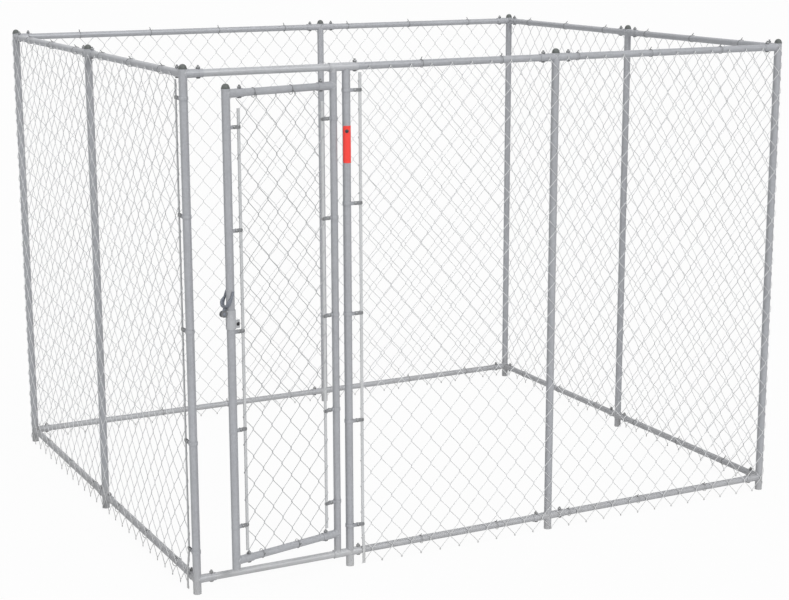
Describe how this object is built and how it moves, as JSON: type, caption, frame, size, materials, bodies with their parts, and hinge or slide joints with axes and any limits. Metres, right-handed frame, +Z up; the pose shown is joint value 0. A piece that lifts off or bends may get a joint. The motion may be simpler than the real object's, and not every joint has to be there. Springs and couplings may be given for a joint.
{
  "type": "outdoor dog kennel run",
  "caption": "Rectangular outdoor dog run of bolted galvanised tube bays hung with chain-link fabric, with a hinged gate and a lift-up fork latch.",
  "frame": {"origin": "on the ground at the bottom centre of the whole run's box, gate and latch included, in the pictured pose", "axes": "+X along the front wall away from the gate, +Y from the front wall to the back wall, +Z up"},
  "size_m": [2.4886, 2.1732, 1.829],
  "materials": {
    "galvanised_tube": "satin galvanised",
    "welded_fitting": "satin galvanised",
    "fabric_wire": "bright galvanised",
    "bright_zinc": "bright galvanised",
    "dark_zinc": "dull zinc",
    "latch_zinc": "satin galvanised",
    "cap": "matte",
    "tag": "matte"
  },
  "bodies": {
    "run": {"corner_post_front_left": "galvanised_tube", "corner_post_front_right": "galvanised_tube", "corner_post_back_right": "galvanised_tube", "corner_post_back_left": "galvanised_tube", "mid_post_front": "galvanised_tube", "mid_post_right": "galvanised_tube", "mid_post_back": "galvanised_tube", "mid_post_left": "galvanised_tube", "gate_post": "galvanised_tube", "gate_header": "welded_fitting", "gate_sill": "welded_fitting", "top_rail_front_middle": "galvanised_tube", "top_rail_front_right": "galvanised_tube", "top_rail_right_front": "galvanised_tube", "top_rail_right_back": "galvanised_tube", "top_rail_back_right": "galvanised_tube", "top_rail_back_left": "galvanised_tube", "top_rail_left_back": "galvanised_tube", "top_rail_left_front": "galvanised_tube", "bottom_rail_front_middle": "galvanised_tube", "bottom_rail_front_right": "galvanised_tube", "bottom_rail_right_front": "galvanised_tube", "bottom_rail_right_back": "galvanised_tube", "bottom_rail_back_right": "galvanised_tube", "bottom_rail_back_left": "galvanised_tube", "bottom_rail_left_back": "galvanised_tube", "bottom_rail_left_front": "galvanised_tube", "post_caps": "cap", "frame_bolts": "dark_zinc", "frame_nuts": "dark_zinc", "fabric_front": "fabric_wire", "fabric_right": "fabric_wire", "fabric_back": "fabric_wire", "fabric_left": "fabric_wire", "frame_ties": "bright_zinc", "front_tension_bar": "bright_zinc", "side_tension_bar": "bright_zinc", "frame_bands": "dark_zinc", "frame_band_bolts": "dark_zinc", "post_tag": "tag"},
    "gate": {"hinge_stile": "galvanised_tube", "latch_stile": "galvanised_tube", "gate_top_rail": "galvanised_tube", "gate_bottom_rail": "galvanised_tube", "gate_cap": "cap", "gate_bolts": "dark_zinc", "gate_nuts": "dark_zinc", "gate_fabric": "fabric_wire", "gate_ties": "bright_zinc", "hinge_side_bar": "bright_zinc", "latch_side_bar": "bright_zinc", "gate_bands": "dark_zinc", "gate_band_bolts": "dark_zinc", "latch_collar_outer": "latch_zinc", "latch_collar_inner": "latch_zinc", "collar_bolt": "dark_zinc", "latch_pivot": "dark_zinc"},
    "fork": {"latch_fork": "latch_zinc"}
  },
  "joints": [
    {"name": "gate_swing", "type": "hinge", "parent": "run", "child": "gate", "pos_m": [-0.6835, -0.96717, 0.917], "axis": [0, 0, 1], "range_deg": [-12, 90]},
    {"name": "latch_lift", "type": "hinge", "parent": "gate", "child": "fork", "pos_m": [-1.1403, -1.06427, 1.006], "axis": [-0.2079, 0.9781, 0], "range_deg": [-110, 0]}
  ]
}
